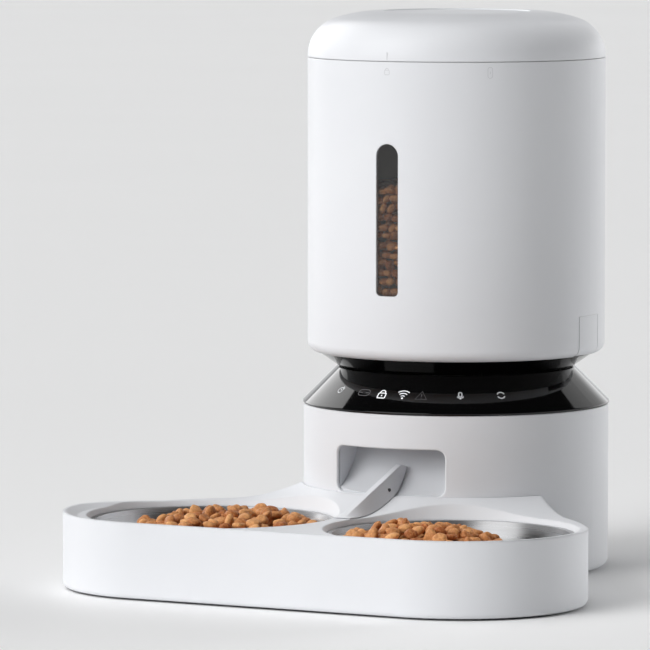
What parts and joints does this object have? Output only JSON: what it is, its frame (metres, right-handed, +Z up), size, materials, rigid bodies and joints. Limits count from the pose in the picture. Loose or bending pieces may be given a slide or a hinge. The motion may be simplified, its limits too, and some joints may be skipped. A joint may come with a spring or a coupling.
{
  "type": "automatic pet feeder",
  "caption": "Automatic pet feeder: round lidded food tank on a round powered base, chute with splitter to a tray of steel bowls.",
  "frame": {"origin": "middle of the whole footprint on the floor; the round tower's axis is 80 mm behind it", "axes": "+Z up, -Y is the front where the bowls are, +X to the right seen from the front"},
  "size_m": [0.346, 0.356, 0.3554],
  "materials": {
    "white_shell": "satin moulded",
    "chute_plastic": "fine satin",
    "gloss_black": "polished",
    "smoke_window": "clear smoked",
    "bowl_steel": "fine brushed",
    "foot_rubber": "matte",
    "soft_silicone": "translucent matte",
    "rotor_plastic": "satin",
    "gear_acetal": "satin",
    "shaft_steel": "ground",
    "screw_steel": "zinc plated",
    "motor_can": "nickel plated",
    "contact_metal": "nickel plated",
    "board_green": "solder mask",
    "chip_black": "moulded",
    "cell_jacket": "printed film, no lettering",
    "inner_plastic": "fine texture",
    "speaker_paper": "pressed paper"
  },
  "bodies": {
    "base": {"base_housing": "white_shell", "base_bottom_plate": "white_shell", "base_feet": "foot_rubber", "bottom_screws": "screw_steel", "control_ring": "gloss_black", "deck_plate": "gloss_black", "chute": "chute_plastic", "battery_box": "inner_plastic", "battery_cells": "cell_jacket", "battery_contacts": "contact_metal", "power_inlet": "inner_plastic", "power_inlet_pin": "contact_metal", "main_board": "board_green", "board_components": "chip_black", "touch_board": "board_green", "speaker": "motor_can", "speaker_cone": "speaker_paper", "microphone": "contact_metal", "food_sensors": "chip_black", "gearbox_base": "inner_plastic", "gearbox_cover": "inner_plastic", "shaft_bushing": "gear_acetal", "idler_pin": "shaft_steel", "motor": "motor_can", "motor_terminals": "contact_metal"},
    "battery_door": {"battery_door": "white_shell"},
    "drive": {"drive_gear": "gear_acetal", "drive_shaft": "shaft_steel", "drive_coupler": "gear_acetal"},
    "idler": {"idler_gear": "gear_acetal"},
    "pinion": {"motor_pinion": "gear_acetal", "motor_shaft": "shaft_steel"},
    "tank": {"tank_shell": "white_shell", "tank_window": "smoke_window", "tank_collar": "gloss_black", "hopper_funnel": "white_shell", "outlet_shield": "white_shell", "collar_screws": "screw_steel"},
    "release_tab_left": {"release_tab_left": "white_shell"},
    "release_tab_right": {"release_tab_right": "white_shell"},
    "rotor": {"rotor_hub": "rotor_plastic", "rotor_blades": "soft_silicone"},
    "lid_seal": {"lid_seal": "soft_silicone"},
    "lid": {"lid_shell": "white_shell", "lid_liner": "white_shell", "desiccant_box": "white_shell"},
    "desiccant_cover": {"desiccant_cover": "rotor_plastic"},
    "tray": {"bowl_tray": "white_shell", "tray_feet": "foot_rubber"},
    "splitter": {"splitter": "white_shell", "splitter_pin": "inner_plastic"},
    "bowl_left": {"bowl_left": "bowl_steel"},
    "bowl_right": {"bowl_right": "bowl_steel"}
  },
  "joints": [
    {"name": "tank_lift", "type": "slide", "parent": "base", "child": "tank", "axis": [0, 0, 1], "range_m": [0, 0.12]},
    {"name": "rotor_spin", "type": "hinge", "parent": "tank", "child": "rotor", "pos_m": [0, 0.08, 0.14], "axis": [0, 0, 1], "continuous": true},
    {"name": "drive_spin", "type": "hinge", "parent": "base", "child": "drive", "pos_m": [0, 0.08, 0.1], "axis": [0, 0, 1], "continuous": true},
    {"name": "idler_spin", "type": "hinge", "parent": "base", "child": "idler", "pos_m": [0, 0.11012, 0.1], "axis": [0, 0, 1], "continuous": true},
    {"name": "pinion_spin", "type": "hinge", "parent": "base", "child": "pinion", "pos_m": [0, 0.13624, 0.1], "axis": [0, 0, 1], "continuous": true},
    {"name": "release_tab_left_press", "type": "hinge", "parent": "tank", "child": "release_tab_left", "pos_m": [-0.0914, 0.08, 0.164], "axis": [0, -1, 0], "range_deg": [0, 5], "stiffness_Nm_per_rad": 2},
    {"name": "release_tab_right_press", "type": "hinge", "parent": "tank", "child": "release_tab_right", "pos_m": [0.0914, 0.08, 0.164], "axis": [0, 1, 0], "range_deg": [0, 5], "stiffness_Nm_per_rad": 2},
    {"name": "lid_lift", "type": "slide", "parent": "tank", "child": "lid_seal", "axis": [0, 0, 1], "range_m": [0, 0.08]},
    {"name": "lid_twist", "type": "hinge", "parent": "lid_seal", "child": "lid", "pos_m": [0, 0.08, 0.33], "axis": [0, 0, 1], "range_deg": [0, 40]},
    {"name": "desiccant_cover_twist", "type": "hinge", "parent": "lid", "child": "desiccant_cover", "pos_m": [0, 0.08, 0.315], "axis": [0, 0, 1], "range_deg": [0, 30]},
    {"name": "tray_pull", "type": "slide", "parent": "base", "child": "tray", "axis": [0, -1, 0], "range_m": [0, 0.12]},
    {"name": "splitter_pull", "type": "slide", "parent": "tray", "child": "splitter", "axis": [0, -0.95, 0.3122], "range_m": [0, 0.028]},
    {"name": "bowl_left_lift", "type": "slide", "parent": "tray", "child": "bowl_left", "axis": [0, 0, 1], "range_m": [0, 0.06]},
    {"name": "bowl_right_lift", "type": "slide", "parent": "tray", "child": "bowl_right", "axis": [0, 0, 1], "range_m": [0, 0.06]},
    {"name": "battery_door_slide", "type": "slide", "parent": "base", "child": "battery_door", "axis": [0, 1, 0], "range_m": [0, 0.025]}
  ],
  "couplings": [
    {"joint": "drive_spin", "follows": "rotor_spin", "ratio": 1},
    {"joint": "idler_spin", "follows": "rotor_spin", "ratio": -4},
    {"joint": "pinion_spin", "follows": "rotor_spin", "ratio": 13.333}
  ]
}
